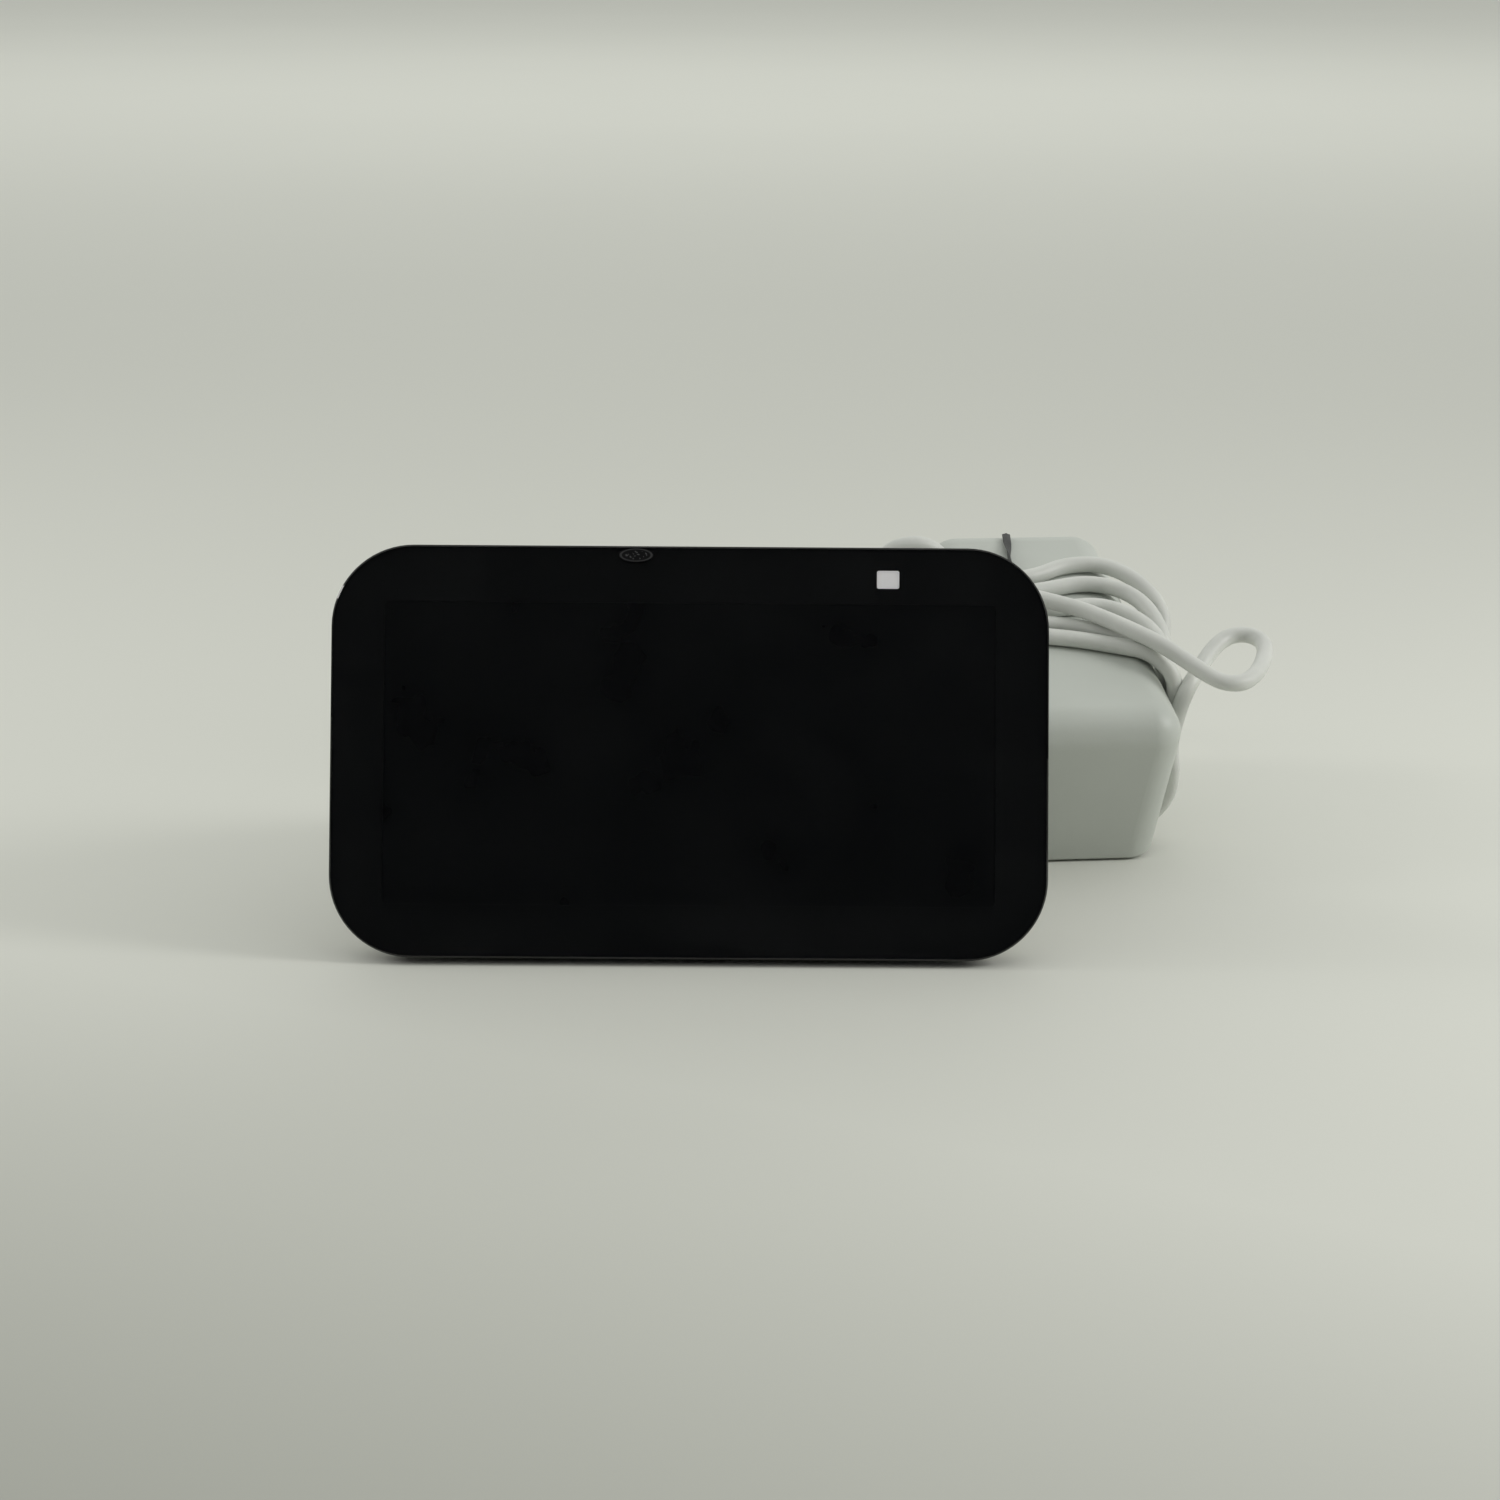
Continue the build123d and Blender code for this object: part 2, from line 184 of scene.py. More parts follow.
def mouldedPlastic(name, color, roughness, grain=2600, depth=0.00003, vary=0.05):
    finish, tree, shader = newFinish(name, color, roughness, ior=1.48)
    cloud = addNoise(tree, 38, 4)
    addTint(tree, shader, cloud.outputs["Fac"], shade(color, 1 - vary), shade(color, 1 + vary * 0.6))
    spark = addNoise(tree, grain, 2)
    addRoughness(tree, shader, spark.outputs["Fac"], roughness * 0.9, min(1, roughness * 1.12))
    addBump(tree, shader, spark.outputs["Fac"], 0.35, depth)
    return finish


def leadVinyl(name, color):
    finish, tree, shader = newFinish(name, color, 0.42, ior=1.47)
    cloud = addNoise(tree, 90, 4)
    addTint(tree, shader, cloud.outputs["Fac"], shade(color, 0.93), shade(color, 1.03))
    skin = addNoise(tree, 900, 3)
    addRoughness(tree, shader, skin.outputs["Fac"], 0.36, 0.5)
    addBump(tree, shader, skin.outputs["Fac"], 0.25, 0.00005)
    shader.inputs["Subsurface Weight"].default_value = 0.06
    shader.inputs["Subsurface Radius"].default_value = (0.0012, 0.0012, 0.001)
    return finish


def brushedMetal(name, color, roughness, stretch=(1, 1, 14)):
    finish, tree, shader = newFinish(name, color, roughness, metallic=1.0)
    streak = addNoise(tree, 420, 4, stretch)
    addTint(tree, shader, streak.outputs["Fac"], shade(color, 0.86), shade(color, 1.05))
    addRoughness(tree, shader, streak.outputs["Fac"], roughness * 0.8, roughness * 1.3)
    addBump(tree, shader, streak.outputs["Fac"], 0.2, 0.00002)
    return finish


def alongPanel(tree, direction, origin=None):  # distance of the surface along one direction of the glass
    place = addNode(tree, "ShaderNodeTexCoord")
    away = addNode(tree, "ShaderNodeVectorMath", operation="SUBTRACT")
    away.inputs[1].default_value = origin or panelOrigin
    tree.links.new(place.outputs["Object"], away.inputs[0])
    part = addNode(tree, "ShaderNodeVectorMath", operation="DOT_PRODUCT")
    part.inputs[1].default_value = direction
    tree.links.new(away.outputs["Vector"], part.inputs[0])
    return part.outputs["Value"]


glass = {"clear": (0.975, 0.98, 0.985), "ink": (0.002, 0.002, 0.0025), "inkFrom": 0.93, "clearFrom": 0.97}


def coverGlass(name):  # clear through its faces, inked black on its chamfer and rim
    finish, tree, shader = newFinish(name, glass["clear"], 0.02, ior=1.5)
    shader.inputs["Transmission Weight"].default_value = 1.0
    surface = addNode(tree, "ShaderNodeNewGeometry")
    facing = addNode(tree, "ShaderNodeVectorMath", operation="DOT_PRODUCT")
    facing.inputs[1].default_value = panelBack
    tree.links.new(surface.outputs["True Normal"], facing.inputs[0])
    flat = mathNode(tree, "ABSOLUTE", facing.outputs["Value"])
    addTint(tree, shader, flat, glass["ink"], glass["clear"], glass["inkFrom"], glass["clearFrom"])
    smear = addNoise(tree, 26, 5)
    addRoughness(tree, shader, smear.outputs["Fac"], 0.0, 0.003)
    return finish


label = {
    "x": -11.2, "up": 82.6, "reach": 3.4, "rise": 1.32,  # millimetres on the panel
    "line": 0.93, "lineHalf": 0.065, "lineInk": 0.55, "inner": 0.68,  # shares of the oval
    "black": (0.002, 0.002, 0.003), "ink": (0.11, 0.11, 0.115), "speckFrom": 0.585,
}


def clearLabel(name):  # an oval line round a few silvery specks
    finish, tree, shader = newFinish(name, label["black"], 0.3)
    centre = onPanel(label["x"], label["up"], 0)
    across = mathNode(tree, "MULTIPLY", alongPanel(tree, sideways, centre), 1000 / label["reach"])
    height = mathNode(tree, "MULTIPLY", alongPanel(tree, panelUp, centre), 1000 / label["rise"])
    acrossSquare = mathNode(tree, "POWER", mathNode(tree, "ABSOLUTE", across), 2.0)
    heightSquare = mathNode(tree, "POWER", mathNode(tree, "ABSOLUTE", height), 2.0)
    oval = mathNode(tree, "SQRT", mathNode(tree, "ADD", acrossSquare, heightSquare))
    offLine = mathNode(tree, "ABSOLUTE", mathNode(tree, "SUBTRACT", oval, label["line"]))
    line = mathNode(tree, "LESS_THAN", offLine, label["lineHalf"])
    specks = addNoise(tree, 1900, 2)
    silver = mathNode(tree, "GREATER_THAN", specks.outputs["Fac"], label["speckFrom"])
    inner = mathNode(tree, "LESS_THAN", oval, label["inner"])
    paleLine = mathNode(tree, "MULTIPLY", line, label["lineInk"])
    pattern = mathNode(tree, "MAXIMUM", paleLine, mathNode(tree, "MULTIPLY", silver, inner))
    addTint(tree, shader, pattern, label["black"], label["ink"], 0.0, 1.0)
    return finish


def glossBlack(name, color, roughness):
    finish, tree, shader = newFinish(name, color, roughness, ior=1.45)
    cloud = addNoise(tree, 60, 3)
    addTint(tree, shader, cloud.outputs["Fac"], shade(color, 0.8), shade(color, 1.2))
    addRoughness(tree, shader, cloud.outputs["Fac"], roughness * 0.85, roughness * 1.2)
    return finish


def circuitLaminate(name):
    green = (0.012, 0.085, 0.045)
    finish, tree, shader = newFinish(name, green, 0.38)
    place = addNode(tree, "ShaderNodeTexCoord")
    tracks = addNode(tree, "ShaderNodeTexBrick", Scale=190.0)
    tracks.inputs["Mortar Size"].default_value = 0.012
    tree.links.new(place.outputs["Object"], tracks.inputs["Vector"])
    addTint(tree, shader, tracks.outputs["Fac"], green, (0.05, 0.2, 0.1), 0.1, 0.9)
    addBump(tree, shader, tracks.outputs["Fac"], 0.4, 0.00004)
    return finish


def fibrePaper(name, color):
    finish, tree, shader = newFinish(name, color, 0.85)
    fibre = addNoise(tree, 700, 6, (1, 5, 1))
    addTint(tree, shader, fibre.outputs["Fac"], shade(color, 0.75), shade(color, 1.3))
    addBump(tree, shader, fibre.outputs["Fac"], 0.5, 0.00008)
    return finish


def woundCopper(name):
    color = (0.62, 0.24, 0.09)
    finish, tree, shader = newFinish(name, color, 0.28, metallic=1.0)
    place = addNode(tree, "ShaderNodeTexCoord")
    wire = addNode(tree, "ShaderNodeTexWave", Scale=900.0, Distortion=0.4)
    tree.links.new(place.outputs["Object"], wire.inputs["Vector"])
    # painted shade: the colour darkens in the grooves between the turns of wire
    addTint(tree, shader, wire.outputs["Fac"], shade(color, 0.5), color, 0.1, 0.8)
    addBump(tree, shader, wire.outputs["Fac"], 0.7, 0.0001)
    return finish


# the dark knit tone is painted shade in the gaps between the stitches and also the darker yarn of the melange
knit = {"wale": 1.25, "course": 0.95, "yarn": (0.60, 0.60, 0.58), "gapShadeAndDarkYarn": (0.30, 0.30, 0.295), "slant": 0.8}


def knitFabric(name):
    finish, tree, shader = newFinish(name, knit["yarn"], 0.9)
    shader.inputs["Sheen Weight"].default_value = 0.25
    shader.inputs["Sheen Roughness"].default_value = 0.55
    cloth = addNode(tree, "ShaderNodeUVMap", uv_map="knitMap")
    axes = addNode(tree, "ShaderNodeSeparateXYZ")
    tree.links.new(cloth.outputs["UV"], axes.inputs["Vector"])
    across = mathNode(tree, "MULTIPLY", axes.outputs["X"], 1 / (knit["wale"] * mm))
    centred = mathNode(tree, "ABSOLUTE", mathNode(tree, "SUBTRACT", mathNode(tree, "FRACT", across), 0.5))
    leg = mathNode(tree, "SINE", mathNode(tree, "MULTIPLY", centred, 2 * pi))  # two legs in each wale
    slanted = mathNode(tree, "MULTIPLY", centred, 2 * knit["slant"])
    along = mathNode(tree, "MULTIPLY", axes.outputs["Y"], 1 / (knit["course"] * mm))
    ring = mathNode(tree, "SINE", mathNode(tree, "MULTIPLY", mathNode(tree, "ADD", along, slanted), 2 * pi))
    ring = mathNode(tree, "MULTIPLY", mathNode(tree, "ADD", ring, 1.0), 0.5)
    stitch = mathNode(tree, "MULTIPLY", mathNode(tree, "POWER", leg, 0.7), mathNode(tree, "POWER", ring, 0.6))
    fluff = addNoise(tree, 1500, 3)
    height = mathNode(tree, "ADD", stitch, mathNode(tree, "MULTIPLY", fluff.outputs["Fac"], 0.25))
    melange = addNoise(tree, 240, 5)
    # painted shade: the stitch pattern darkens the colour in the gaps between the loops, mixed with a random
    # melange of darker and lighter yarn
    tone = mathNode(tree, "MULTIPLY", stitch, mathNode(tree, "ADD", melange.outputs["Fac"], 0.45))
    addTint(tree, shader, tone, knit["gapShadeAndDarkYarn"], knit["yarn"], 0.05, 0.72)
    addBump(tree, shader, height, 0.75, 0.00028)
    return finish


# the blade glows a little, in place of the light that the glass lets through to it
shutter = {"color": (0.9, 0.885, 0.885), "glowColor": (1, 0.985, 0.975, 1), "glow": 0.34}


def litShutter(name):
    finish = mouldedPlastic(name, shutter["color"], 0.5, vary=0.01)
    shader = finish.node_tree.nodes["Principled BSDF"]
    shader.inputs["Emission Color"].default_value = shutter["glowColor"]
    shader.inputs["Emission Strength"].default_value = shutter["glow"]
    return finish


whiteBody = (0.66, 0.665, 0.645)
adapterTone = (0.555, 0.585, 0.543)
finishes = {
    "clear_glass": coverGlass("coverGlass"),
    "black_print": glossBlack("blackPrint", (0.0012, 0.0013, 0.0018), 0.35),
    "clear_label": clearLabel("clearLabel"),
    "display_black": glossBlack("displayBlack", (0.001, 0.001, 0.0016), 0.3),
    "backlight": mouldedPlastic("backlightFilm", (0.8, 0.8, 0.78), 0.5),
    "black_plastic": mouldedPlastic("blackPlastic", (0.012, 0.012, 0.013), 0.5, vary=0.15),
    "white_plastic": mouldedPlastic("whitePlastic", whiteBody, 0.46),
    "shell_plastic": mouldedPlastic("shellPlastic", (0.35, 0.355, 0.35), 0.55),
    "knit_fabric": knitFabric("knitFabric"),
    "screw_steel": brushedMetal("screwSteel", (0.42, 0.42, 0.43), 0.3),
    "foot_rubber": mouldedPlastic("footRubber", (0.055, 0.055, 0.056), 0.8, 1500, 0.00008, 0.12),
    "spreader_aluminium": brushedMetal("spreaderAluminium", (0.75, 0.76, 0.77), 0.34, (1, 12, 1)),
    "board_laminate": circuitLaminate("boardLaminate"),
    "shield_steel": brushedMetal("shieldSteel", (0.62, 0.62, 0.61), 0.3, (10, 1, 1)),
    "flex_film": mouldedPlastic("flexFilm", (0.28, 0.11, 0.02), 0.35, 1800),
    "shutter_white": litShutter("shutterWhite"),
    "basket_steel": brushedMetal("basketSteel", (0.3, 0.3, 0.31), 0.45),
    "magnet_steel": brushedMetal("magnetSteel", (0.22, 0.22, 0.23), 0.4),
    "cone_paper": fibrePaper("conePaper", (0.035, 0.034, 0.033)),
    "coil_copper": woundCopper("coilCopper"),
    "plug_nickel": brushedMetal("plugNickel", (0.72, 0.7, 0.66), 0.2),
    "lead_vinyl": leadVinyl("leadVinyl", (0.70, 0.715, 0.68)),
    "adapter_plastic": mouldedPlastic("adapterPlastic", adapterTone, 0.44, 2200, 0.00002, 0.03),
    "pin_brass": brushedMetal("pinBrass", (0.78, 0.62, 0.32), 0.24),
    "ferrite": fibrePaper("ferriteCore", (0.03, 0.03, 0.032)),
    "capacitor_sleeve": mouldedPlastic("capacitorSleeve", (0.02, 0.035, 0.09), 0.35),
    "tie_black": mouldedPlastic("tieBlack", (0.045, 0.047, 0.046), 0.5, 1500, 0.00006, 0.2),
}
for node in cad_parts.values():
    for slot in node.material_slots:
        slotName = slot.material.name.split(".")[0]
        slot.material = finishes.get(slotName, finishes["white_plastic"])
print("finishes made:", len(finishes))


# the lead leaves the plug, goes six times round the adapter with one loose loop, then enters the relief
lead = {"width": 3.8, "length": 1.4, "smooth": 8, "firstLow": 17.4, "drift": 1.25}  # width in mm, length in m

leadRun = [(0, 67.8, 11.6), (0, 75, 11.6), (2.5, 84, 7.6), (9.5, 91.6, 3.4), (20, 95.4, 2.1),
           (31, 94, 2.4), (41, 87.6, 4.6), (48.4, 79, 8.2)]
riseOuter = [(-26, 52.5, -5), (-29.2, 52, 3.5), (-31.4, 51, 15), (-31.8, 51, 27), (-30.6, 51.6, 37.6),
             (-23.5, 51.6, 43.6), (-13, 48.5, 43.4), (-1, 43.6, 43), (7, 39, 43), (12.4, 33.7, 43.2),
             (17, 28.6, 43.4), (22.4, 23.2, 43), (27.6, 18.4, 41.4)]
leadLoop = [(31.4, 14, 40.4), (34.8, 11, 39.9), (39, 11.2, 39.5), (42.8, 14.8, 39.2), (45.8, 20, 39),
            (48, 25.4, 38.9), (48.5, 30.4, 38.8), (45.6, 33.9, 38.5), (41.2, 33.9, 37.9), (37, 30.2, 37),
            (33, 24.6, 35.6)]
fallOuter = [(28.6, 18.6, 33.2), (26.4, 16.2, 27), (25.6, 15.4, 20), (27.5, 15.8, 12), (27, 16.8, 4.6),
             (22.6, 17.4, -2)]
leadTail = [(-14.2, 61.6, -6.4), (-14.6, 72.8, -9.4), (-14.4, 84.4, -11.4), (-13.2, 95.4, -10.4),
            (-11.2, 104.2, -6.8), (-8.2, 110.4, -1), (-4.6, 112.4, 6.4), (-1.6, 110, 12.6),
            (0, 104.2, 15), (0, 99.2, 15)]

# each turn's way over the top, and how far along the adapter it passes on its near side
turns = [
    {"over": [(-20.8, 35.4, 39.6), (-7, 34.4, 39.2), (4.5, 32.4, 39.1), (14, 28.9, 39.1),
              (21.2, 25.4, 39.6), (27, 21.4, 35)], "low": 20.4},
    {"over": [(-20.8, 39.8, 39.6), (-7, 39.6, 39.2), (4, 38.4, 39.1), (13, 34.4, 39.1),
              (20.8, 29.4, 39.6), (26.9, 25.2, 35)], "low": 24.6},
    {"over": [(-20.8, 44.2, 39.6), (-7, 44.4, 39.2), (5, 45.8, 39.1), (14, 47, 39.1),
              (20.8, 41, 39.3), (25.2, 34.2, 37.9), (26.9, 29, 32)], "low": 28.6},
    {"over": [(-20.8, 49.4, 39.6), (-7, 51.6, 39.2), (3, 54.4, 39.1), (12.5, 57, 39.2),
              (20.2, 53.4, 39.4), (25, 45, 39.4), (27.6, 35, 35)], "low": 32.8},
    {"over": [(-39, 55.5, 40), (-35.5, 57.5, 49.5), (-25.5, 58.5, 50), (-19.5, 58.5, 42.5),
              (-10, 57.6, 39.4), (0.5, 59.6, 39.3), (8.5, 65, 39.3), (18, 65.4, 39.3),
              (25.4, 58.4, 38.8), (30.4, 48, 35.4)], "low": 37.4},
]
# the rest of a turn: down the right side, under the adapter and up the left side
wayBack = [(26.4, 26), (25.2, 14), (24.6, 4.8), (20.6, -2.2), (7, -2.1), (-7, -2.1), (-20.4, -2.2),
           (-24.4, 4.8), (-25, 14), (-26.2, 26), (-26.6, 35)]
lastWayBack = [(26.4, 26), (25.2, 14), (24.6, 4.8), (20.6, -2.2), (7, -2.1), (-7, -2.1), (-20.4, -2.2),
               (-25.4, 4.8), (-29.2, 15), (-35.4, 28)]
wayToTail = [(27.4, 41, 26), (25, 37.4, 14), (24.2, 36.8, 4.8), (19.6, 37.4, -2.2), (7, 40.2, -2.3),
             (-4, 44.4, -2.9), (-12, 51.2, -4.6)]


def backUnder(low, nextAlong, corners, first=0):
    points = []
    under = 3  # corners before this one stay at the near end of the turn
    for place in range(first, len(corners)):
        x, up = corners[place]
        share = max(0, place - under) / (len(corners) - under)
        points.append((x, low + (nextAlong - low) * share ** lead["drift"], up))
    return points


def windLead():
    route = [Vector(point) * mm for point in leadRun]
    local = riseOuter + leadLoop + fallOuter
    local += backUnder(lead["firstLow"], turns[0]["over"][0][1], wayBack, 4)
    for number, oneTurn in enumerate(turns):
        local += oneTurn["over"]
        if number < len(turns) - 1:
            following = turns[number + 1]["over"][0]
            corners = wayBack if number < len(turns) - 2 else lastWayBack
            local += backUnder(oneTurn["low"], following[1], corners)
    local += wayToTail + leadTail
    return route + [onAdapter(*point) for point in local]


def makeLead():
    curve = bpy.data.curves.new("wound_lead", "CURVE")
    curve.dimensions = "3D"
    curve.resolution_u = lead["smooth"]
    curve.bevel_depth = lead["width"] / 2 * mm
    curve.bevel_resolution = 5
    curve.use_fill_caps = True
    spline = curve.splines.new("NURBS")
    route = windLead()
    spline.points.add(len(route) - 1)
    for point, place in zip(spline.points, route):
        point.co = (*place, 1)
    spline.order_u = 3
    spline.use_endpoint_u = True
    curve.materials.append(finishes["lead_vinyl"])
    piece = bpy.data.objects.new("wound_lead", curve)
    bpy.context.scene.collection.objects.link(piece)
    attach(piece, "root")
    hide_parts("cord_run", "cord_winding", "cord_loop", "cord_tail")
    return piece


woundLead = makeLead()
print("lead wound")


# a flat black twist tie over the turns, its twisted end lying along the adapter's top
tie = {"width": 1.95, "thickness": 0.8, "steps": 90, "halfTurns": 2, "twistFrom": 0.46, "twistOver": 0.4}
tieRoute = [(-4.5, 44.6, 41.2), (-4.5, 50, 41.7), (-4.6, 55.5, 42), (-4.6, 60, 41.8), (-4.4, 62.4, 39.6),
            (-4, 66, 38.2), (-3.4, 70.6, 38.2), (-2.9, 75, 38.2), (-2.5, 79, 38.2), (-2.1, 82.4, 37.9)]


def throughPoints(points, share):  # a smooth line through every point
    span = share * (len(points) - 1)
    here = min(int(span), len(points) - 2)
    t = span - here
    before = points[max(here - 1, 0)]
    after = points[min(here + 2, len(points) - 1)]
    first, second = points[here], points[here + 1]
    bend = (2 * before - 5 * first + 4 * second - after) * t * t
    bend += (3 * first - before - 3 * second + after) * t * t * t
    return (2 * first + (second - before) * t + bend) * 0.5


def makeTie():
    points = [onAdapter(*point) for point in tieRoute]
    outline = []
    for corner in range(12):  # flat strip with a raised wire down its middle
        angle = 2 * pi * corner / 12
        wide = cos(angle) * tie["width"] / 2
        ridge = 1.0 if abs(cos(angle)) < 0.2 else 0.55
        outline.append((wide, sin(angle) * tie["thickness"] / 2 * ridge))
    verts, faces = [], []
    steps = tie["steps"]
    for step in range(steps + 1):
        share = step / steps
        centre = throughPoints(points, share)
        ahead = throughPoints(points, min(1, share + 0.01))
        behind = throughPoints(points, max(0, share - 0.01))
        tangent = (ahead - behind).normalized()
        side = adapterAcross - tangent * adapterAcross.dot(tangent)
        side.normalize()
        top = side.cross(tangent)
        twisted = max(0, min(1, (share - tie["twistFrom"]) / tie["twistOver"]))
        twist = pi * tie["halfTurns"] / 2 * twisted
        for wide, high in outline:
            x = wide * cos(twist) - high * sin(twist)
            z = wide * sin(twist) + high * cos(twist)
            verts.append(centre + (side * x + top * z) * mm)
    ring = len(outline)
    for step in range(steps):
        for corner in range(ring):
            nextCorner = (corner + 1) % ring
            start = step * ring
            following = start + ring
            faces.append((start + corner, start + nextCorner, following + nextCorner, following + corner))
    faces.append(tuple(reversed(range(ring))))
    faces.append(tuple(range(steps * ring, steps * ring + ring)))
    piece = newPiece("twisted_tie", verts, faces, finishes["tie_black"])
    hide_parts("twist_tie")
    return piece


twistedTie = makeTie()
onLead = ["plug_barrel", "plug_body", "strain_relief"]
onLead += [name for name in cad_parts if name.startswith("adapter_")]


# one knitted skin stretched over the back shell
body = {
    "front": 14.3, "tail": 82.75, "level": 2.8, "lift": 1.7, "hem": 0.5,  # millimetres
    "ringDepth": 4, "halfWidth": 71, "taper": 0.32, "waist": 34, "crown": 48,
    "shoulder": 14.5, "heel": 9.0, "sections": 60, "endSteps": 8, "endDepth": 3.2,
}


def halfWidth(depth):
    behind = depth - body["ringDepth"]
    taper = body["halfWidth"] - body["taper"] * behind
    return taper * (1 - (behind / 83.5) ** 5) ** 0.45


def crownHeight(depth):
    behind = depth - body["ringDepth"]
    return body["waist"] + body["crown"] * (1 - (behind / 82.5) ** 1.7) ** 0.667


def arcPoints(x, up, radius, start, steps):
    angles = [radians(start + 90 * step / steps) for step in range(steps + 1)]
    return [(x + radius * cos(angle), up + radius * sin(angle)) for angle in angles]


def edgePoints(first, last, steps):
    points = []
    for step in range(1, steps):
        share = step / steps
        points.append((first[0] + (last[0] - first[0]) * share, first[1] + (last[1] - first[1]) * share))
    return points


def skinSection(depth, inset=0.0):
    low = (body["level"] - body["lift"] + depth * sin(glassLean)) / cos(glassLean) + inset
    high = crownHeight(depth) - inset
    half = halfWidth(depth) - inset
    tall = high - low
    shoulder = max(0.4, min(body["shoulder"], 0.46 * tall))
    heel = max(0.4, min(body["heel"], 0.3 * tall))
    corners = [
        arcPoints(half - heel, low + heel, heel, -90, 8),
        arcPoints(half - shoulder, high - shoulder, shoulder, 0, 12),
        arcPoints(shoulder - half, high - shoulder, shoulder, 90, 12),
        arcPoints(heel - half, low + heel, heel, 180, 8),
    ]
    edges = [16, 44, 16, 44]
    outline = []
    for number, corner in enumerate(corners):
        following = corners[(number + 1) % 4]
        outline += corner + edgePoints(corner[-1], following[0], edges[number])
    return outline


def skinRings():
    rings = []
    hem = body["hem"]
    rings.append([onPanel(x, up, body["front"] - 0.15) for x, up in skinSection(body["front"], 0.8)])
    rings.append([onPanel(x, up, body["front"] - 0.2) for x, up in skinSection(body["front"], 0.45)])
    for step in range(3):  # the hem rolls in behind the ring
        angle = pi / 2 * step / 2
        inset = hem * (1 - sin(angle))
        depth = body["front"] + hem * (1 - cos(angle)) * 0.6
        rings.append([onPanel(x, up, depth) for x, up in skinSection(depth, inset)])
    start = body["front"] + 1.0
    for step in range(body["sections"]):
        share = sin(pi / 2 * step / (body["sections"] - 1))
        depth = start + (body["tail"] - start) * share
        rings.append([onPanel(x, up, depth) for x, up in skinSection(depth)])
    last = skinSection(body["tail"])
    middleUp = sum(up for x, up in last) / len(last)
    for step in range(1, body["endSteps"] + 1):  # the domed end
        angle = pi / 2 * step / body["endSteps"]
        scale = max(0.02, cos(angle))
        depth = body["tail"] + body["endDepth"] * sin(angle)
        rings.append([onPanel(x * scale, middleUp + (up - middleUp) * scale, depth) for x, up in last])
    return rings


def makeSkin():
    rings = skinRings()
    count = len(rings[0])
    verts = [point for ring in rings for point in ring]
    faces, maps = [], []
    around = [0.0]
    widest = rings[8]
    for number in range(count):
        around.append(around[-1] + (widest[(number + 1) % count] - widest[number]).length)
    down = [0.0]
    for ring, following in zip(rings, rings[1:]):
        down.append(down[-1] + (following[count // 2] - ring[count // 2]).length)
    for row in range(len(rings) - 1):
        for number in range(count):
            nextNumber = (number + 1) % count
            start = row * count
            below = start + count
            faces.append((start + number, below + number, below + nextNumber, start + nextNumber))
            near, far = around[number], around[number + 1]
            maps += [(near, down[row]), (near, down[row + 1]), (far, down[row + 1]), (far, down[row])]
    faces.append(tuple(range((len(rings) - 1) * count, len(rings) * count)))
    maps += [(0.0, down[-1])] * count
    piece = newPiece("knitted_skin", verts, faces, finishes["knit_fabric"])
    layer = piece.data.uv_layers.new(name="knitMap")
    for loop, place in zip(layer.data, maps):
        loop.uv = place
    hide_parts("fabric_wrap")
    print("skin area", round(sum(face.area for face in piece.data.polygons), 4))
    return piece


knittedSkin = makeSkin()


# raised marks on the keys, in millimetres
mark = {"reach": 1.15, "half": 0.17, "height": 0.14}
keyMarks = {"volume_up_button": "plus", "volume_down_button": "minus", "mic_button": "ring"}


def plusOutline(reach, half):
    quarter = [(half, half), (half, reach), (-half, reach), (-half, half)]
    outline = []
    for step in range(4):
        outline += [(x * cos(step * pi / 2) - y * sin(step * pi / 2),
                     x * sin(step * pi / 2) + y * cos(step * pi / 2)) for x, y in quarter[:3]]
    return outline


def barOutline(reach, half):
    outline = []
    for end, start in ((1, -90), (-1, 90)):
        for step in range(9):
            angle = radians(start + 180 * step / 8)
            outline.append((end * (reach - half) + half * cos(angle), half * sin(angle)))
    return outline


def raisePrint(name, outline, centre, bodyName):
    size = len(outline)
    base = [centre + (sideways * x + panelBack * y) * mm for x, y in outline]
    top = [point + panelUp * mark["height"] * mm for point in base]
    faces = [tuple(range(size, 2 * size)), tuple(reversed(range(size)))]
    for number in range(size):
        nextNumber = (number + 1) % size
        faces.append((number, nextNumber, size + nextNumber, size + number))
    piece = newPiece(name, base + top, faces, finishes["foot_rubber"], bodyName)
    addBevel(piece, 0.03 * mm)
    return piece


def makeMarks():
    for node, shape in keyMarks.items():
        low, high = (Vector(corner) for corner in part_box(node))
        middle = (low + high) / 2
        top = keyTop(node, middle)
        if shape == "plus":
            outline = plusOutline(mark["reach"], mark["half"])
        elif shape == "minus":
            outline = barOutline(mark["reach"], mark["half"])
        else:
            outline = [(0.5 * cos(2 * pi * step / 20), 0.5 * sin(2 * pi * step / 20)) for step in range(20)]
        raisePrint(node.replace("button", "mark"), outline, top, node)


def keyTop(node, middle):  # the middle of the key's upper face
    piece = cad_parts[node]
    heights = [(panelUp.dot(vertex.co), vertex.co) for vertex in piece.data.vertices]
    highest = max(height for height, place in heights)
    return middle + panelUp * (highest - panelUp.dot(middle) - 0.02 * mm)


makeMarks()
print("skin and key marks made")


floorLook = {
    "pale": (0.745, 0.755, 0.70), "dim": (0.46, 0.47, 0.425),  # painted shade: the sheet is painted darker towards its near left, in place of the light falling off there
    "nearEdge": -0.31, "fade": 0.2, "slant": 0.5, "reach": 12.0,
}


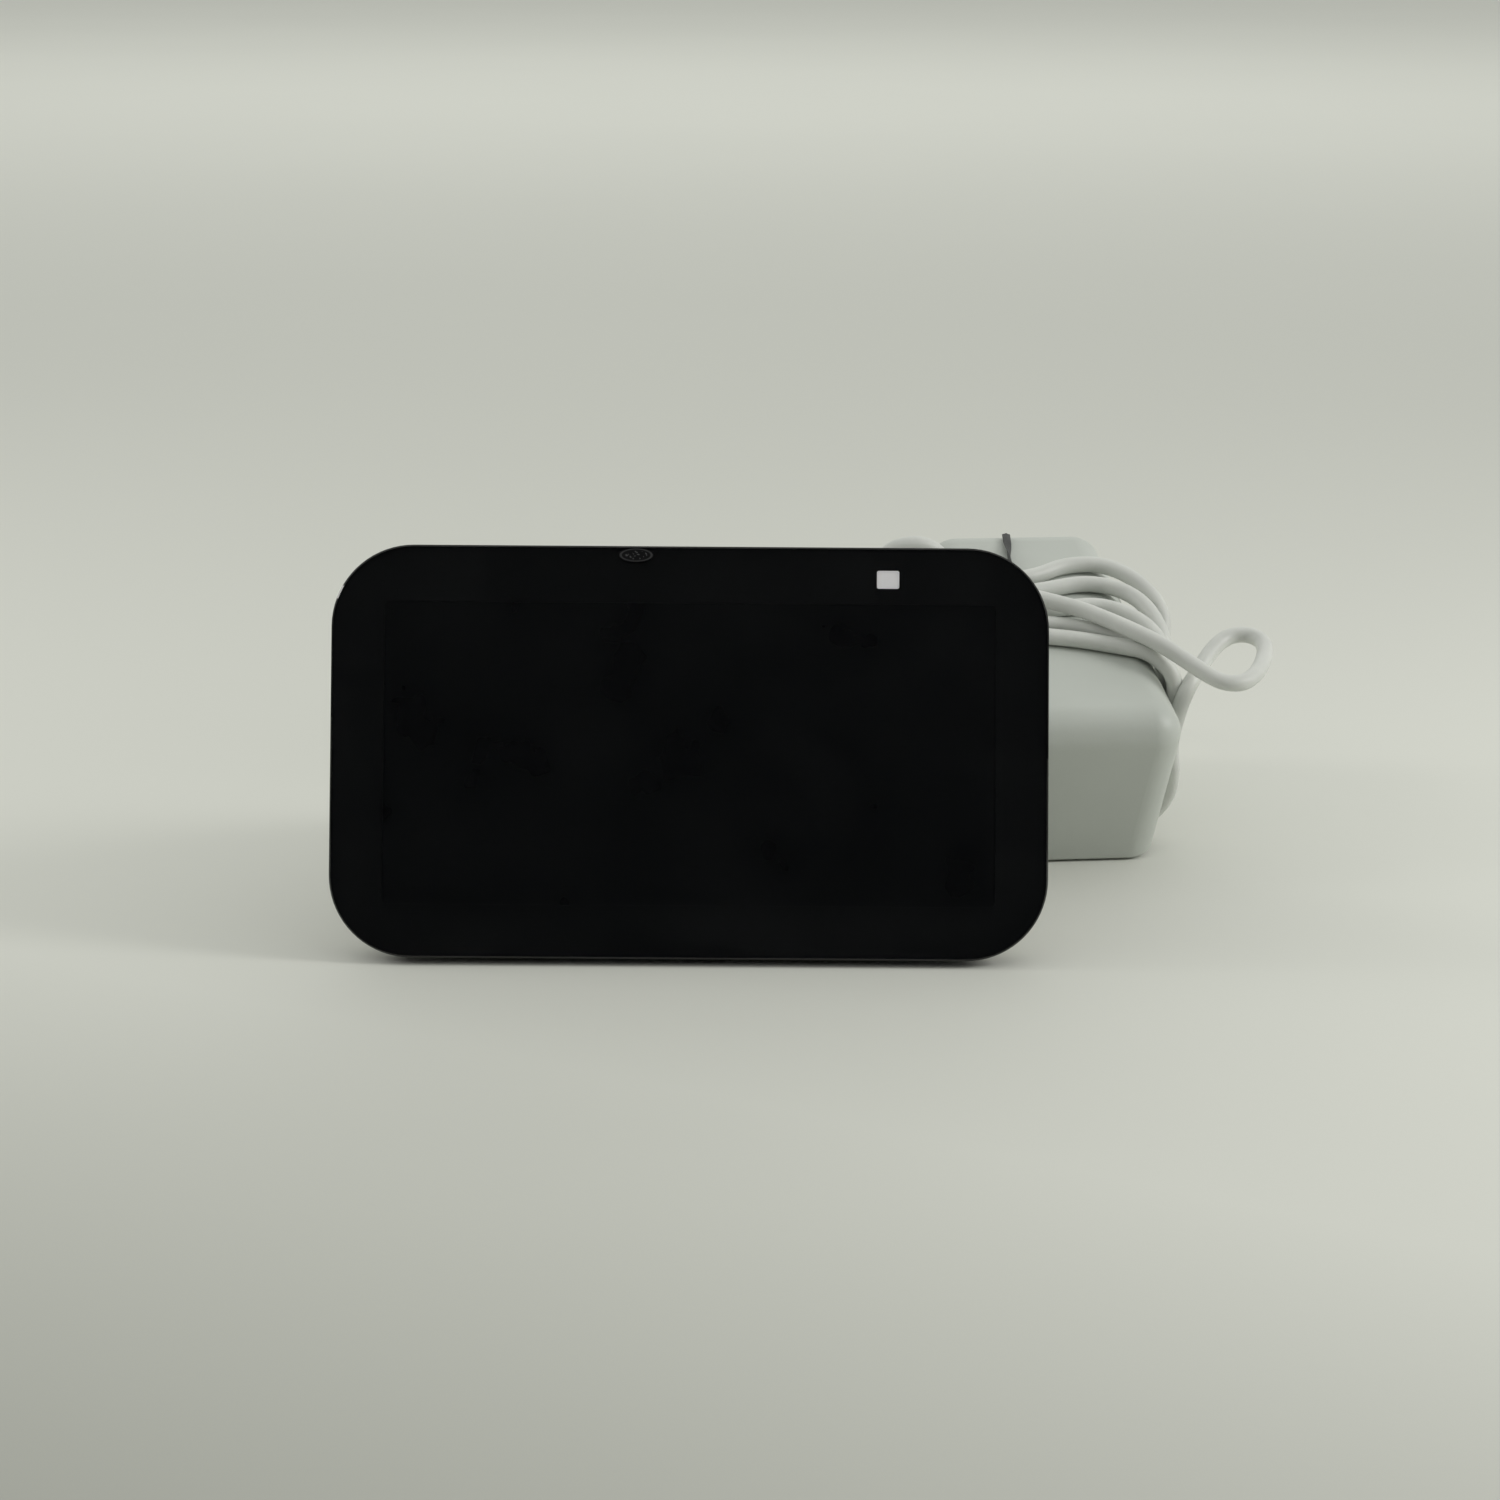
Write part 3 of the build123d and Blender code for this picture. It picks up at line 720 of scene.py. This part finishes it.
def makeFloor():
    finish, tree, shader = newFinish("paperFloor", floorLook["pale"], 0.75)
    place = addNode(tree, "ShaderNodeTexCoord")
    axes = addNode(tree, "ShaderNodeSeparateXYZ")
    tree.links.new(place.outputs["Object"], axes.inputs["Vector"])
    # painted shade: this ramp darkens the floor towards the near left; a faint random mottle rides on it
    lean = mathNode(tree, "MULTIPLY", axes.outputs["X"], floorLook["slant"])
    lean = mathNode(tree, "SUBTRACT", mathNode(tree, "ADD", axes.outputs["Y"], lean), floorLook["nearEdge"])
    lean = mathNode(tree, "MINIMUM", mathNode(tree, "MULTIPLY", lean, 1 / floorLook["fade"]), 1.0)
    cloud = addNoise(tree, 2.2, 4)
    mottle = mathNode(tree, "ADD", mathNode(tree, "MULTIPLY", cloud.outputs["Fac"], 0.08), 0.93)
    tone = mathNode(tree, "MULTIPLY", lean, mottle)
    addTint(tree, shader, tone, floorLook["dim"], floorLook["pale"], 0.0, 1.0)
    fibre = addNoise(tree, 260, 5)
    addBump(tree, shader, fibre.outputs["Fac"], 0.12, 0.0002)
    reach = floorLook["reach"]
    corners = [(-reach, -reach, 0), (reach, -reach, 0), (reach, reach, 0), (-reach, reach, 0)]
    mesh = bpy.data.meshes.new("floorSheet")
    mesh.from_pydata(corners, [], [(0, 1, 2, 3)])
    mesh.materials.append(finish)
    floor = bpy.data.objects.new("floorSheet", mesh)
    bpy.context.scene.collection.objects.link(floor)


room = {
    "strength": 0.8, "dark": (0.012, 0.013, 0.015), "bright": (0.8, 0.81, 0.775),
    "darkTo": 0.24, "brightFrom": 0.6, "upShare": 0.95, "backShare": 0.5, "shift": 0.25,
}
lamps = {
    "rightLamp": {"place": (0.62, -0.1, 0.36), "aim": (0, 0.06, 0.0), "size": (0.16, 0.3), "power": 1.5,
                  "color": (1.0, 0.99, 0.97)},
    "leftLamp": {"place": (-0.62, 0.1, 0.4), "aim": (0.05, 0.06, 0.0), "size": (0.16, 0.3), "power": 0.8,
                 "color": (1.0, 0.99, 0.96)},
    "farLamp": {"place": (0.1, 2.4, 1.6), "aim": (0.1, 3.0, 0), "size": (3.0, 1.5), "power": 12.0,
                "color": (1.0, 1.0, 0.97)},
}


def addLamp(name, look):
    lamp = bpy.data.objects.new(name, bpy.data.lights.new(name, "AREA"))
    lamp.data.shape = "RECTANGLE"
    lamp.data.size, lamp.data.size_y = look["size"]
    lamp.data.energy = look["power"]
    lamp.data.color = look["color"]
    lamp.location = look["place"]
    lamp.rotation_euler = (Vector(look["aim"]) - Vector(look["place"])).to_track_quat("-Z", "Y").to_euler()
    bpy.context.scene.collection.objects.link(lamp)


def lightRoom():  # dark low in front, so the glass stays black, and bright above and behind
    world = bpy.data.worlds.new("room")
    bpy.context.scene.world = world
    world.use_nodes = True
    tree = world.node_tree
    sky = tree.nodes["Background"]
    place = addNode(tree, "ShaderNodeTexCoord")
    axes = addNode(tree, "ShaderNodeSeparateXYZ")
    tree.links.new(place.outputs["Generated"], axes.inputs["Vector"])
    lean = mathNode(tree, "ADD", mathNode(tree, "MULTIPLY", axes.outputs["Z"], room["upShare"]),
                    mathNode(tree, "MULTIPLY", axes.outputs["Y"], room["backShare"]))
    ramp = addNode(tree, "ShaderNodeValToRGB")
    ramp.color_ramp.elements[0].position = room["darkTo"]
    ramp.color_ramp.elements[0].color = (*room["dark"], 1)
    ramp.color_ramp.elements[1].position = room["brightFrom"]
    ramp.color_ramp.elements[1].color = (*room["bright"], 1)
    shifted = mathNode(tree, "ADD", lean, room["shift"])
    tree.links.new(shifted, ramp.inputs["Fac"])
    tree.links.new(ramp.outputs["Color"], sky.inputs["Color"])
    sky.inputs["Strength"].default_value = room["strength"]
    for name, look in lamps.items():
        addLamp(name, look)
    bpy.context.scene.view_settings.view_transform = "Standard"


makeFloor()
lightRoom()
print("floor and light ready")
